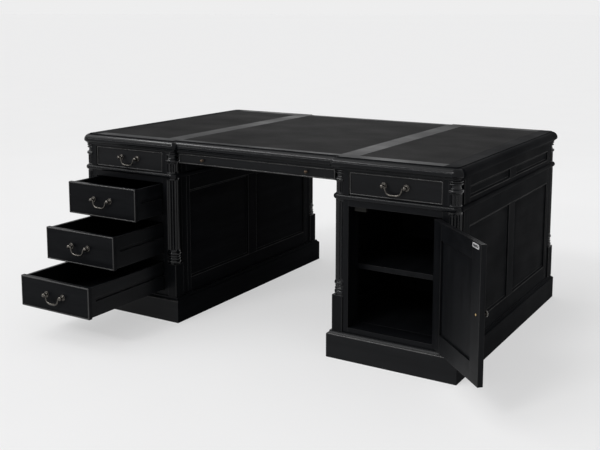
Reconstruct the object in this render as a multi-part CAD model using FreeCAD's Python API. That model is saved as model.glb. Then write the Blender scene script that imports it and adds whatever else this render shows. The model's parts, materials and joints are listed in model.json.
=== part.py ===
import FreeCAD, Part
import math
import os

# Partners desk on two pedestals, worked from both sides, in millimetres.
# The origin is on the floor under the middle of the desk. +X is to the right of the sitter at the front,
# the front faces -Y and +Z is up. The back of the desk is the front turned by half a turn about Z.
# The left front pedestal holds drawers and the right front pedestal a cupboard, as seen by each sitter.

# Whole desk
desk_width = 1800.0
desk_depth = 1200.0
desk_height = 780.0
plinth_width = 533.0
plinth_end_setback = 5.0
body_front_setback = 17.0
body_end_setback = 12.0
body_knee_setback = 23.0

# Layers, from the top down to the plinth
top_board_thickness = 36.0
top_moulding_thickness = 10.0
frieze_height = 94.0
waist_thickness = 20.0
plinth_height = 106.0

# Top: rounded nose, breakfront over the pedestals, inlaid leather
top_corner_radius = 42.0
breakfront_recess = 20.0
breakfront_overhang = 17.0
ear_round_share = 0.75
least_corner_radius = 2.0
nose_upper_share = 0.74
nose_lower_share = 0.24
nose_steps = 3
moulding_setback = 8.0
moulding_step = 5.0
moulding_upper_height = 5.5
moulding_round_share = 0.75
leather_thickness = 2.0
leather_margin = 80.0
leather_strip = 80.0
centre_leather_width = 760.0

# Waist board and plinth
waist_overhang = 9.0
waist_corner_radius = 30.0
waist_nose_share = 0.46
waist_nose_steps = 2
plinth_board_thickness = 24.0
plinth_cove_radius = 10.0

# Corner posts, notched on the outside for the columns
stile_width = 62.0
post_depth = 84.0
notch_width = 40.0
notch_depth = 50.0

# Turned columns that stand in the notches
column_side_inset = 26.0
column_front_inset = 33.0
shaft_radius = 27.5
flute_count = 16
flute_depth = 1.9
flute_place_shares = [(0, 0), (0.38, 1), (0.76, 0)]
block_height = 142.0
block_stand = 1.5
ring_radius = 33.0
ring_waist_radius = 28.0
foot_ring_height = 30.0
middle_ring_height = 12.0
collar_ring_height = 15.0
drum_radius = 25.5
drum_height = 47.0
cushion_radius = 29.5
cushion_height = 13.0
shoulder_radius = 27.0
shoulder_height = 9.0
neck_radius = 22.0
neck_height = 11.0
cap_radius = 27.0
ring_bulge_share = 0.3

# Framed walls with panels
wall_thickness = 18.0
panel_thickness = 12.0
panel_rim = 2.0
panel_moulding_width = 7.0
panel_moulding_depth = 7.0
panel_channel = 5.0
field_bevel = 24.0
field_depth = 3.0
side_edge_stile = 21.0
side_muntin = 66.0
side_lower_rail = 62.0
side_upper_rail = 64.0
end_lower_rail = 17.0
end_upper_rail = 33.0
end_muntin = 72.0
partition_thickness = 18.0

# Rails across the fronts
frieze_rail_height = 6.0
frieze_rail_depth = 23.0
upper_rail_height = 23.0
lower_rail_height = 20.0
lower_bay_share = 0.317
drawer_rail_height = 33.0
face_rail_depth = 43.0

# Drawers and their side runners
drawer_gap = 1.0
drawer_setback = 3.0
front_thickness = 20.0
bead_width = 6.5
bead_height = 3.0
drawer_side_thickness = 12.0
drawer_box_inset = 4.0
drawer_side_drop = 3.0
drawer_back_drop = 14.0
drawer_bottom_thickness = 6.0
drawer_bottom_rise = 8.0
drawer_tail_gap = 15.0
runner_height = 14.0
runner_bite = 6.0
runner_clearance = 0.3
runner_lift = 8.0
groove_stop = 24.0
runner_end_gap = 1.0
centre_end_gap = 9.0
centre_front_height = 42.0
centre_drawer_length = 440.0

# How far the drawers and the door stand open
upper_drawer_opening = 178.0
middle_drawer_opening = 313.0
lower_drawer_opening = 458.0
door_opening_angle = 136.0

# Bail pulls
post_spacing = 90.0
pull_lift = 4.0
rosette_radius = 11.0
rosette_height = 3.0
post_stem_radius = 4.5
post_head_radius = 6.5
post_head_length = 10.0
post_reach = 21.0
bail_rod_radius = 2.7
bail_drop = 30.0
bail_foot_width = 61.0
bail_shoulder_radius = 4.0
bail_foot_radius = 8.0
bail_bend_steps = 1
pivot_clearance = 0.08

# Knobs, given as the largest radius and the height
centre_knob_radius = 7.0
centre_knob_height = 16.0
centre_knob_place_share = 0.665
door_knob_radius = 10.0
door_knob_height = 22.0
knob_neck_share = 0.45
knob_base_share = 0.75
knob_base_height_share = 0.2
knob_neck_height_share = 0.45
knob_shoulder_height_share = 0.62
knob_crown_height_share = 0.86
door_knob_inset = 25.0
knob_screw_head_radius = 4.0
knob_screw_head_height = 2.0

# Cupboard: door, hinges, catch and shelves
door_thickness = 20.0
door_stile_width = 62.0
door_lower_rail = 66.0
door_upper_rail = 62.0
hinge_side_gap = 2.4
hinge_leaf_thickness = 1.1
hinge_leaf_width = 20.0
hinge_height = 60.0
hinge_edge_distance = 50.0
knuckle_radius = 4.0
knuckle_gap = 0.4
hinge_pin_radius = 1.5
hinge_running_clearance = 0.05
strike_width = 48.0
strike_height = 16.0
strike_thickness = 1.5
strike_inset = 12.0
strike_drop = 4.0
catch_gap = 0.3
catch_depth = 16.0
shelf_top = 358.0
shelf_thickness = 20.0
batten_height = 14.0
batten_width = 15.0
lower_batten_top = 204.0

# Flat sides of rods and pins, of small turned pieces and of column rings, and chords of a quarter round
rod_sides = 6
turning_sides = 8
ring_sides = 12
corner_steps = 5
cove_steps = 3

# One overrun serves every cut
overrun = 5.0

# Places worked out from the sizes above
V = FreeCAD.Vector
centre = V(0, 0, 0)
up = V(0, 0, 1)
half_width = desk_width / 2
half_depth = desk_depth / 2
plinth_outer = half_width - plinth_end_setback
knee_half = plinth_outer - plinth_width
inner_x = knee_half + body_knee_setback
outer_x = plinth_outer - body_end_setback
face_y = half_depth - body_front_setback
pedestal_middle = (inner_x + outer_x) / 2
opening_inner = inner_x + stile_width
opening_outer = outer_x - stile_width
opening_width = opening_outer - opening_inner
wall_y = face_y - post_depth
hall_inner = inner_x + wall_thickness
hall_outer = outer_x - wall_thickness
top_board_bottom = desk_height - top_board_thickness
moulding_bottom = top_board_bottom - top_moulding_thickness
frieze_bottom = moulding_bottom - frieze_height
waist_bottom = frieze_bottom - waist_thickness
pedestal_height = waist_bottom - plinth_height
partition_half = partition_thickness / 2
front_width = opening_width - 2 * drawer_gap
drawer_face_y = -face_y + drawer_setback
drawer_tail_y = -partition_half - drawer_tail_gap
bay_bottom = plinth_height + lower_rail_height
bay_top = waist_bottom - upper_rail_height
bays_height = bay_top - bay_bottom - 2 * drawer_rail_height
lower_bay_height = lower_bay_share * bays_height
drawer_bay_height = (bays_height - lower_bay_height) / 2
lower_front_height = lower_bay_height - 2 * drawer_gap
drawer_front_height = drawer_bay_height - 2 * drawer_gap
frieze_front_height = frieze_height - frieze_rail_height - 2 * drawer_gap
frieze_front_bottom = frieze_bottom + drawer_gap
centre_front_bottom = frieze_front_bottom + frieze_front_height - centre_front_height
centre_front_width = 2 * (inner_x - centre_end_gap)
centre_face_y = drawer_face_y + breakfront_recess
centre_drawer_tail_y = centre_face_y + centre_drawer_length


def box(x, y, z):
    """A board between two places along each axis."""
    return Part.makeBox(x[1] - x[0], y[1] - y[0], z[1] - z[0], V(x[0], y[0], z[0]))


def half_turn(shape):
    """The same piece on the other side of the desk."""
    turned = shape.copy()
    turned.rotate(centre, up, 180)
    return turned


def both_sides(solids):
    """Pieces of the right half together with their half-turned twins."""
    return solids + [half_turn(solid) for solid in solids]


def about_pedestal(shape):
    """The mirror image of a piece across the right pedestal's middle."""
    return shape.mirror(V(pedestal_middle, 0, 0), V(1, 0, 0))


def front_to_back(shape):
    """The mirror image of a piece across the middle of the desk's depth."""
    return shape.mirror(centre, V(0, 1, 0))


def four_corners(shape):
    """A corner piece of the right pedestal at all four of that pedestal's corners."""
    pair = [shape, about_pedestal(shape)]
    return pair + [front_to_back(piece) for piece in pair]


def moved(shape, x=0.0, y=0.0, z=0.0):
    """A copy of a piece, shifted."""
    copy = shape.copy()
    copy.translate(V(x, y, z))
    return copy


def stood_up(shape, corner, across):
    """Stands a wall that was drawn flat: its width runs along across, its height up, its face outward."""
    turn = FreeCAD.Rotation(across, up, across.cross(up), "XYZ")
    copy = shape.copy()
    copy.Placement = FreeCAD.Placement(corner, turn).multiply(copy.Placement)
    return copy


def write(node, solids):
    """Writes one node's solids to its file."""
    for solid in solids:
        if not solid.isValid():
            raise ValueError("invalid solid in " + node)
    Part.makeCompound(solids).exportStep("parts/" + node + ".step")


def circle_places(radius, sides, height):
    """The corners of a ring of flat sides about Z."""
    places = []
    for index in range(sides):
        turn = 2 * math.pi * (index + 1 / 2) / sides
        places.append(V(radius * math.cos(turn), radius * math.sin(turn), height))
    return places


def closed(places):
    """A flat face through a ring of places."""
    return Part.Face(Part.makePolygon(places + places[:1]))


def ringed_solid(rings):
    """A solid through rings of corners, with flat sides between them and flat ends."""
    faces = [closed(rings[0]), closed(rings[-1])]
    for low, high in zip(rings, rings[1:]):
        for index, place in enumerate(low):
            after = (index + 1) % len(low)
            faces.append(closed([place, low[after], high[after], high[index]]))
    solid = Part.makeSolid(Part.makeShell(faces))
    if solid.Volume < 0:
        solid.reverse()
    return solid


def turning(profile, sides):
    """A turned piece with flat sides, from (radius, height) steps."""
    return ringed_solid([circle_places(radius, sides, height) for radius, height in profile])


def flat_sided_rod(radius, bottom, top, sides):
    """A pin, knuckle or bore with flat sides about Z."""
    return turning([(radius, bottom), (radius, top)], sides)


def bore_corner(radius, sides):
    """The corner radius of a bore with flat sides that just clears a round of a given radius."""
    return radius / math.cos(math.pi / sides)


def round_places(round_size, end, hand, steps):
    """Insets and heights along a quarter round, up from the lower end or up to the upper end."""
    places = []
    for index in range(steps + 1):
        turn = math.pi / 2 * index / steps
        inset = round_size * (1 - math.sin(turn))
        places.append((inset, end + hand * round_size * (1 - math.cos(turn))))
    return places[::hand]


def nose_section(bottom, top, lower_share, upper_share, steps):
    """Insets and heights up a nose that is rounded below and above."""
    thickness = top - bottom
    lower = round_places(lower_share * thickness, bottom, 1, steps)
    return lower + round_places(upper_share * thickness, top, -1, steps)


def quarter_round(middle_x, middle_y, radius, start, steps):
    """The places along a quarter round, from a start angle in degrees."""
    places = []
    for index in range(steps + 1):
        turn = math.radians(start) + math.pi / 2 * index / steps
        places.append(V(middle_x + radius * math.cos(turn), middle_y + radius * math.sin(turn), 0))
    return places


def whole_outline(quarter):
    """A whole outline from the places of its right front quarter."""
    half = quarter + [V(place.x, -place.y, 0) for place in reversed(quarter)]
    return half + [V(-place.x, -place.y, 0) for place in half]


def nosed_slab(outline, section):
    """A slab through one outline for each inset and height of its edge's section."""
    rings = []
    for inset, height in section:
        rings.append([place + V(0, 0, height) for place in outline(inset)])
    return ringed_solid(rings)


# Top board, moulding and leather
def top_outline(inset):
    """The outline of the top, forward over the pedestals, drawn in by an inset all round."""
    front_y = half_depth - inset
    ear = max(ear_round_share * breakfront_recess - inset, least_corner_radius)
    corner = max(top_corner_radius - inset, least_corner_radius)
    step_x = inner_x - breakfront_overhang + inset
    quarter = [V(step_x, breakfront_recess - front_y, 0)]
    quarter += quarter_round(step_x + ear, ear - front_y, ear, 180, corner_steps)
    corner_x = half_width - inset - corner
    quarter += quarter_round(corner_x, corner - front_y, corner, 270, corner_steps)
    return whole_outline(quarter)


def leather_places():
    """The three inlaid panels: X range, and the same depth for all."""
    centre_half = centre_leather_width / 2
    side_inner = centre_half + leather_strip
    side_outer = half_width - leather_margin
    depth_half = half_depth - leather_margin
    depth = (-depth_half, depth_half)
    return [
        ((-side_outer, -side_inner), depth),
        ((-centre_half, centre_half), depth),
        ((side_inner, side_outer), depth),
    ]


def make_top():
    nose = nose_section(top_board_bottom, desk_height, nose_lower_share, nose_upper_share, nose_steps)
    board = nosed_slab(top_outline, nose)
    leathers = []
    for x, y in leather_places():
        leathers.append(box(x, y, (desk_height - leather_thickness, desk_height)))
        board = board.cut(box(x, y, (desk_height - leather_thickness, desk_height + overrun)))
    write("desk_top", [board])
    write("leather_panels", leathers)
    upper_bottom = top_board_bottom - moulding_upper_height
    lower_setback = moulding_setback + moulding_step
    rounding = moulding_round_share * moulding_upper_height
    section = [(lower_setback, moulding_bottom), (lower_setback, upper_bottom)]
    for inset, height in round_places(rounding, upper_bottom, 1, waist_nose_steps):
        section.append((moulding_setback + inset, height))
    section.append((moulding_setback, top_board_bottom))
    write("top_moulding", [nosed_slab(top_outline, section)])


# Waist boards and plinths
def waist_outline(inset):
    """The rounded rectangle of a waist board about its own middle, drawn in by an inset."""
    x = outer_x + waist_overhang - pedestal_middle - waist_corner_radius
    y = face_y + waist_overhang - waist_corner_radius
    return whole_outline(quarter_round(x, -y, waist_corner_radius - inset, 270, corner_steps))


def make_waist():
    section = nose_section(waist_bottom, frieze_bottom, waist_nose_share, waist_nose_share, waist_nose_steps)
    write("waist_boards", both_sides([moved(nosed_slab(waist_outline, section), pedestal_middle)]))


def plinth_board(start, end, inward):
    """A mitred board between two outer corners, coved along its upper outer edge."""
    along = (end - start).normalize()
    depth = V(inward).multiply(plinth_board_thickness)
    shift = V(along).multiply(plinth_board_thickness)
    corners = [start, end, end - shift + depth, start + shift + depth, start]
    board = Part.Face(Part.makePolygon(corners)).extrude(V(0, 0, plinth_height))
    edge = start + V(0, 0, plinth_height)
    cove = [edge + V(0, 0, overrun) - inward * overrun]
    cove += [edge + V(0, 0, overrun) + inward * plinth_cove_radius]
    for place in quarter_round(0, 0, plinth_cove_radius, 270, cove_steps)[::-1]:
        cove.append(edge + inward * place.x + V(0, 0, place.y))
    cove += [edge - V(0, 0, plinth_cove_radius) - inward * overrun]
    return board.cut(closed(cove).extrude(end - start))


def make_plinths():
    corners = [
        V(knee_half, -half_depth, 0),
        V(plinth_outer, -half_depth, 0),
        V(plinth_outer, half_depth, 0),
        V(knee_half, half_depth, 0),
    ]
    boards = []
    for index, start in enumerate(corners):
        end = corners[(index + 1) % len(corners)]
        along = (end - start).normalize()
        boards.append(plinth_board(start, end, up.cross(along)))
    write("plinth_boards", both_sides(boards))


# Corner posts and columns, drawn at the right front corner of the right pedestal
def corner_post(bottom, top):
    whole = box((outer_x - stile_width, outer_x), (-face_y, -face_y + post_depth), (bottom, top))
    notch = box(
        (outer_x - notch_width, outer_x + overrun),
        (-face_y - overrun, -face_y + notch_depth),
        (bottom - overrun, top + overrun),
    )
    return whole.cut(notch)


def seated(column, bottom, top):
    """Cuts a column flat where it seats against the two faces of its notch."""
    reach = 2 * ring_radius
    behind = box(
        (outer_x - notch_width - reach, outer_x + reach),
        (-face_y + notch_depth, -face_y + notch_depth + reach),
        (bottom - overrun, top + overrun),
    )
    beside = box(
        (outer_x - notch_width - reach, outer_x - notch_width),
        (-face_y - reach, -face_y + notch_depth + reach),
        (bottom - overrun, top + overrun),
    )
    return column.cut(behind).cut(beside)


def fluted_shaft(radius, bottom, top):
    """A round shaft with shallow grooves side by side and narrow lands between them."""
    outline = []
    for index in range(flute_count):
        for turn_share, depth_share in flute_place_shares:
            turn = 2 * math.pi * (index + turn_share) / flute_count
            reach = radius - depth_share * flute_depth
            outline.append(V(reach * math.cos(turn), reach * math.sin(turn), bottom))
    return closed(outline).extrude(V(0, 0, top - bottom))


def at_corner(column):
    """Moves a column from the origin to its axis in the notch."""
    return moved(column, outer_x - column_side_inset, -face_y + column_front_inset)


def pedestal_column():
    """Square foot block, four turned rings and a fluted shaft, all from one blank."""
    ring_bottom = plinth_height + block_height
    middle_bottom = ring_bottom + foot_ring_height
    collar_bottom = middle_bottom + middle_ring_height
    shaft_bottom = collar_bottom + collar_ring_height
    bead = foot_ring_height / 2
    rings = turning([
        (ring_waist_radius, ring_bottom),
        (ring_radius, ring_bottom + bead / 2),
        (ring_waist_radius, ring_bottom + bead),
        (ring_radius, middle_bottom - bead / 2),
        (ring_waist_radius, middle_bottom),
        ((ring_radius + ring_waist_radius) / 2, (middle_bottom + collar_bottom) / 2),
        (ring_waist_radius, collar_bottom),
        (ring_radius, collar_bottom + collar_ring_height / 2),
        (ring_waist_radius, shaft_bottom),
    ], ring_sides)
    shaft = fluted_shaft(shaft_radius, shaft_bottom, waist_bottom)
    column = seated(at_corner(rings.fuse(shaft)), ring_bottom, waist_bottom)
    block = box(
        (outer_x - notch_width, outer_x + block_stand),
        (-face_y - block_stand, -face_y + notch_depth),
        (plinth_height, ring_bottom),
    )
    return column.fuse(block).removeSplitter()


def frieze_column():
    """Fluted drum under a cushion, a shoulder, a neck and a spreading cap."""
    drum_top = frieze_bottom + drum_height
    cushion_top = drum_top + cushion_height
    shoulder_top = cushion_top + shoulder_height
    neck_top = shoulder_top + neck_height
    bulge = ring_bulge_share * cushion_height
    rings = turning([
        ((drum_radius + cushion_radius) / 2, drum_top),
        (cushion_radius, drum_top + bulge),
        (cushion_radius, cushion_top - bulge),
        (shoulder_radius, cushion_top),
        (neck_radius, shoulder_top),
        (neck_radius, neck_top),
        (cap_radius, moulding_bottom),
    ], ring_sides)
    drum = fluted_shaft(drum_radius, frieze_bottom, drum_top)
    return seated(at_corner(rings.fuse(drum)), frieze_bottom, moulding_bottom).removeSplitter()


def make_corners():
    write("pedestal_posts", both_sides(four_corners(corner_post(plinth_height, waist_bottom))))
    write("frieze_posts", both_sides(four_corners(corner_post(frieze_bottom, moulding_bottom))))
    write("pedestal_columns", both_sides(four_corners(pedestal_column())))
    write("frieze_columns", both_sides(four_corners(frieze_column())))


# Framed walls, drawn flat with the face at zero height and then stood up
def rectangle(width, height, inset, level):
    """A rectangle drawn in from a panel's edges."""
    x = (inset, width - inset)
    y = (inset, height - inset)
    corners = [(x[0], y[0]), (x[1], y[0]), (x[1], y[1]), (x[0], y[1]), (x[0], y[0])]
    return Part.makePolygon([V(place[0], place[1], level) for place in corners])


def wall_panel(width, height, fielded):
    """A sunken panel with a sloped moulding, and a raised field where there is room for one."""
    board = box((0, width), (0, height), (-panel_thickness, 0))
    edge = panel_rim + panel_moulding_width
    mouth = rectangle(width, height, panel_rim, 0)
    floor = rectangle(width, height, edge, -panel_moulding_depth)
    panel = board.cut(Part.makeLoft([mouth, floor], True, True))
    if fielded:
        foot = rectangle(width, height, edge + panel_channel, -panel_moulding_depth)
        crown = rectangle(width, height, edge + panel_channel + field_bevel, -field_depth)
        panel = panel.fuse(Part.makeLoft([foot, crown], True, True))
    return panel


def framed_wall(width, height, thickness, stile, rails, bays, muntin, fielded):
    """Two stiles, two rails, muntins between the bays, and a panel in each bay."""
    lower, upper = rails
    depth = (-thickness, 0)
    bay_y = (lower, height - upper)
    pieces = [
        box((0, stile), (0, height), depth),
        box((width - stile, width), (0, height), depth),
        box((stile, width - stile), (0, lower), depth),
        box((stile, width - stile), (height - upper, height), depth),
    ]
    bay_width = (width - 2 * stile - (bays - 1) * muntin) / bays
    for index in range(bays):
        start = stile + index * (bay_width + muntin)
        panel = wall_panel(bay_width, bay_y[1] - bay_y[0], fielded)
        pieces.append(moved(panel, start, lower))
        if index:
            pieces.append(box((start - muntin, start), bay_y, depth))
    return pieces


def make_walls():
    side = framed_wall(
        2 * wall_y, pedestal_height, wall_thickness, side_edge_stile,
        (side_lower_rail, side_upper_rail), 2, side_muntin, True,
    )
    outer = [stood_up(piece, V(outer_x, -wall_y, plinth_height), V(0, 1, 0)) for piece in side]
    inner = [stood_up(piece, V(inner_x, wall_y, plinth_height), V(0, -1, 0)) for piece in side]
    write("outer_pedestal_sides", both_sides(outer))
    write("kneehole_pedestal_sides", both_sides(inner))
    end = framed_wall(
        2 * wall_y, frieze_height, wall_thickness, side_edge_stile,
        (end_lower_rail, end_upper_rail), 2, end_muntin, False,
    )
    ends = [stood_up(piece, V(outer_x, -wall_y, frieze_bottom), V(0, 1, 0)) for piece in end]
    write("frieze_ends", both_sides(ends))


def make_boards():
    """Floors, partitions and the plain frieze boards behind the drawers."""
    middle = (-partition_half, partition_half)
    hall = (hall_inner, hall_outer)
    floor = box(hall, (-wall_y, wall_y), (plinth_height, bay_bottom))
    partition = box(hall, middle, (bay_bottom, waist_bottom))
    write("pedestal_boards", both_sides([floor, partition]))
    knee_board = box((inner_x, hall_inner), (-wall_y, wall_y), (frieze_bottom, moulding_bottom))
    divider = box(hall, middle, (frieze_bottom, moulding_bottom))
    bridge = box((-inner_x, inner_x), middle, (centre_front_bottom, moulding_bottom))
    write("frieze_dividers", both_sides([knee_board, divider]) + [bridge])


def pedestal_drawer_bottom(index):
    """The bottom of a pedestal drawer's front, counted up from the lowest."""
    bottom = bay_bottom + drawer_gap
    if index:
        bottom += lower_bay_height + drawer_rail_height
        bottom += (index - 1) * (drawer_bay_height + drawer_rail_height)
    return bottom


def make_rails():
    opening = (opening_inner, opening_outer)
    frieze_y = (-face_y, -face_y + frieze_rail_depth)
    frieze_z = (moulding_bottom - frieze_rail_height, moulding_bottom)
    frieze_rail = box(opening, frieze_y, frieze_z)
    middle_y = (-face_y + breakfront_recess, -face_y + breakfront_recess + frieze_rail_depth)
    middle_rail = box((-inner_x, inner_x), middle_y, frieze_z)
    rails = both_sides([frieze_rail, front_to_back(frieze_rail)])
    write("frieze_rails", rails + [middle_rail, half_turn(middle_rail)])
    face = (-face_y, -face_y + face_rail_depth)
    lower = box(opening, (-face_y, -wall_y), (plinth_height, bay_bottom))
    upper = box(opening, face, (bay_top, waist_bottom))
    pieces = [lower, upper, front_to_back(lower), front_to_back(upper)]
    for index in (1, 2):
        rail_top = pedestal_drawer_bottom(index) - drawer_gap
        rail = box(opening, face, (rail_top - drawer_rail_height, rail_top))
        pieces.append(front_to_back(rail))
    write("pedestal_rails", both_sides(pieces))


# Drawers, drawn closed at the front of the desk
def runner_level(bottom, height):
    """The middle height of a drawer's groove and of its runners."""
    return bottom + height / 2 + runner_lift * height / drawer_front_height


def groove_start(face):
    """Where a drawer's groove begins, behind its front."""
    return face + front_thickness + groove_stop


def drawer(middle_x, width, bottom, height, face, tail):
    """A cock-beaded front, two grooved sides, a back and a bottom."""
    half = width / 2
    back_of_front = face + front_thickness
    front = box((middle_x - half, middle_x + half), (face, back_of_front), (bottom, bottom + height))
    field = box(
        (middle_x - half + bead_width, middle_x + half - bead_width),
        (face - overrun, face + bead_height),
        (bottom + bead_width, bottom + height - bead_width),
    )
    pieces = [front.cut(field)]
    level = runner_level(bottom, height)
    groove_half = runner_height / 2 + runner_clearance
    low = bottom + drawer_side_drop
    high = bottom + height - drawer_side_drop
    for hand in (-1, 1):
        outside = middle_x + hand * (half - drawer_box_inset)
        inside = outside - hand * drawer_side_thickness
        deep = outside - hand * (runner_bite + runner_clearance)
        side = box(sorted((outside, inside)), (back_of_front, tail), (low, high))
        groove = box(
            sorted((deep, outside + hand * overrun)),
            (groove_start(face), tail + overrun),
            (level - groove_half, level + groove_half),
        )
        pieces.append(side.cut(groove))
    inner_half = half - drawer_box_inset - drawer_side_thickness
    inner = (middle_x - inner_half, middle_x + inner_half)
    floor = low + drawer_bottom_rise
    floor_top = floor + drawer_bottom_thickness
    back_top = high - drawer_back_drop * height / drawer_front_height
    pieces.append(box(inner, (tail - drawer_side_thickness, tail), (floor_top, back_top)))
    pieces.append(box(inner, (back_of_front, tail), (floor, floor_top)))
    return pieces


def pedestal_runners(bottom, height):
    """A pair of runners for a drawer of the right pedestal, drawn at the front."""
    level = runner_level(bottom, height)
    z = (level - runner_height / 2, level + runner_height / 2)
    tip = opening_inner + drawer_gap + drawer_box_inset + runner_bite
    start = groove_start(drawer_face_y) + runner_end_gap
    bar = box((hall_inner, tip), (-wall_y, -partition_half), z)
    nose = box((opening_inner, tip), (start, -wall_y), z)
    runner = bar.fuse(nose).removeSplitter()
    return [runner, about_pedestal(runner)]


def centre_runners():
    """The pair of runners that hang the centre drawer between the frieze boards."""
    level = runner_level(centre_front_bottom, centre_front_height)
    z = (level - runner_height / 2, level + runner_height / 2)
    tip = centre_front_width / 2 - drawer_box_inset - runner_bite
    start = groove_start(centre_face_y) + runner_end_gap
    runner = box((tip, inner_x), (start, -partition_half), z)
    return [runner, runner.mirror(centre, V(1, 0, 0))]


def make_runners():
    runners = []
    for index, height in enumerate((lower_front_height, drawer_front_height, drawer_front_height)):
        runners += pedestal_runners(pedestal_drawer_bottom(index), height)
    pieces = [front_to_back(runner) for runner in runners]
    frieze = pedestal_runners(frieze_front_bottom, frieze_front_height)
    pieces += frieze + [front_to_back(runner) for runner in frieze]
    middle = centre_runners()
    write("drawer_runners", both_sides(pieces) + both_sides(middle))


# Bail pulls, drawn on a drawer front at the origin: the field at zero depth, the room in front at -Y
def laid_forward(shape):
    """Turns a shape drawn up from the origin so that it stands out of a front towards -Y."""
    copy = shape.copy()
    copy.rotate(centre, V(1, 0, 0), 90)
    return copy


def pivot_reach():
    """How far the bail's axis stands in front of the field."""
    return post_reach - post_head_length / 2


def pull_post():
    """A turned post: rosette, stem and a barrel head bored for the bail."""
    head_bottom = post_reach - post_head_length
    bevel = post_head_radius - post_stem_radius
    post = turning([
        (rosette_radius, 0),
        (post_stem_radius, rosette_height),
        (post_head_radius, head_bottom + bevel),
        (post_head_radius, post_reach - bevel),
        (post_stem_radius, post_reach),
    ], turning_sides)
    bore_radius = bore_corner(bail_rod_radius + pivot_clearance, rod_sides)
    bore = flat_sided_rod(bore_radius, -rosette_radius, rosette_radius, rod_sides)
    bore.rotate(centre, V(0, 1, 0), 90)
    return laid_forward(post.cut(moved(bore, z=pivot_reach())))


def bent_path(places, radii, steps):
    """Straight runs joined by bends of a few chords each, with a radius for each bend."""
    path = [places[0]]
    for before, corner, after, radius in zip(places, places[1:], places[2:], radii):
        into = (corner - before).normalize()
        out = (after - corner).normalize()
        turn = into.getAngle(out)
        first = corner - into * radius * math.tan(turn / 2)
        inward = (out - into * out.dot(into)).normalize()
        middle = first + inward * radius
        for index in range(steps + 1):
            part = turn * index / steps
            path.append(middle - inward * radius * math.cos(part) + into * radius * math.sin(part))
    return path + [places[-1]]


def rod(path, radius, sides):
    """A rod with flat sides along a path in the XZ plane, mitred at each place."""
    runs = [(after - before).normalize() for before, after in zip(path, path[1:])]
    rings = []
    for place, into, out in zip(path, runs[:1] + runs, runs + runs[-1:]):
        along = (into + out).normalize()
        across = V(0, 1, 0).cross(along) / along.dot(out)
        ring = []
        for corner in circle_places(radius, sides, 0):
            ring.append(place + V(0, corner.x, 0) + across * corner.y)
        rings.append(ring)
    return ringed_solid(rings)


def pull_bail():
    """The swinging bail: pivots in both posts, legs that draw in, and a flat grip."""
    pivot_x = post_spacing / 2 + post_head_radius
    shoulder_x = post_spacing / 2 - post_head_radius - bail_shoulder_radius
    foot_x = bail_foot_width / 2
    half = [V(pivot_x, 0, 0), V(shoulder_x, 0, 0), V(foot_x, 0, -bail_drop)]
    other = [V(-place.x, 0, place.z) for place in reversed(half)]
    radii = [bail_shoulder_radius, bail_foot_radius, bail_foot_radius, bail_shoulder_radius]
    path = bent_path(half + other, radii, bail_bend_steps)
    return moved(rod(path, bail_rod_radius, rod_sides), y=-pivot_reach())


def pull(middle_x, bottom, height, face):
    """The posts and the bail of one drawer, at its place on the front."""
    level = bottom + height / 2 + pull_lift
    field = face + bead_height
    post = pull_post()
    posts = [moved(post, middle_x + hand * post_spacing / 2, field, level) for hand in (-1, 1)]
    return posts, [moved(pull_bail(), middle_x, field, level)]


def knob(radius, height):
    """A turned knob: base, narrow neck and a rounded head."""
    return laid_forward(turning([
        (radius * knob_base_share, 0),
        (radius * knob_base_share, height * knob_base_height_share),
        (radius * knob_neck_share, height * knob_neck_height_share),
        (radius, height * knob_shoulder_height_share),
        (radius, height * knob_crown_height_share),
        (radius * knob_base_share, height),
    ], turning_sides))


def write_front_and_rear(node, solids, opening):
    """A piece as the photograph has it at the front, and its closed twin at the rear."""
    write(node, [moved(solid, y=-opening) for solid in solids])
    write("rear_" + node, [half_turn(solid) for solid in solids])


def make_drawers():
    left = -pedestal_middle
    drawers = [
        ("upper", left, pedestal_drawer_bottom(2), drawer_front_height, upper_drawer_opening),
        ("middle", left, pedestal_drawer_bottom(1), drawer_front_height, middle_drawer_opening),
        ("lower", left, pedestal_drawer_bottom(0), lower_front_height, lower_drawer_opening),
        ("left_frieze", left, frieze_front_bottom, frieze_front_height, 0),
        ("right_frieze", pedestal_middle, frieze_front_bottom, frieze_front_height, 0),
    ]
    for name, middle_x, bottom, height, opening in drawers:
        pieces = drawer(middle_x, front_width, bottom, height, drawer_face_y, drawer_tail_y)
        posts, bail = pull(middle_x, bottom, height, drawer_face_y)
        write_front_and_rear(name + "_drawer", pieces, opening)
        write_front_and_rear(name + "_pull_posts", posts, opening)
        write_front_and_rear(name + "_bail", bail, opening)
    pieces = drawer(
        0, centre_front_width, centre_front_bottom, centre_front_height,
        centre_face_y, centre_drawer_tail_y,
    )
    write_front_and_rear("centre_drawer", pieces, 0)
    small = knob(centre_knob_radius, centre_knob_height)
    level = centre_front_bottom + centre_front_height / 2
    field = centre_face_y + bead_height
    knob_x = centre_knob_place_share * centre_front_width / 2
    knobs = [moved(small, hand * knob_x, field, level) for hand in (-1, 1)]
    write_front_and_rear("centre_drawer_knobs", knobs, 0)


# Cupboard in the front of the right pedestal, drawn with its door shut
door_bottom = bay_bottom + drawer_gap
door_top = bay_top - drawer_gap
door_free_x = opening_inner + drawer_gap
door_hinge_x = opening_outer - hinge_side_gap
door_back_y = drawer_face_y + door_thickness
hinge_axis = V(opening_outer - hinge_side_gap / 2, -face_y - knuckle_radius - knuckle_gap, 0)


def door_pieces():
    """Two stiles, two rails and a fielded panel."""
    wall = framed_wall(
        door_hinge_x - door_free_x, door_top - door_bottom, door_thickness, door_stile_width,
        (door_lower_rail, door_upper_rail), 1, 0, True,
    )
    corner = V(door_free_x, drawer_face_y, door_bottom)
    return [stood_up(piece, corner, V(1, 0, 0)) for piece in wall]


def hinge_bottoms():
    """The lower ends of the door's two hinges."""
    return [door_bottom + hinge_edge_distance, door_top - hinge_edge_distance - hinge_height]


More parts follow.
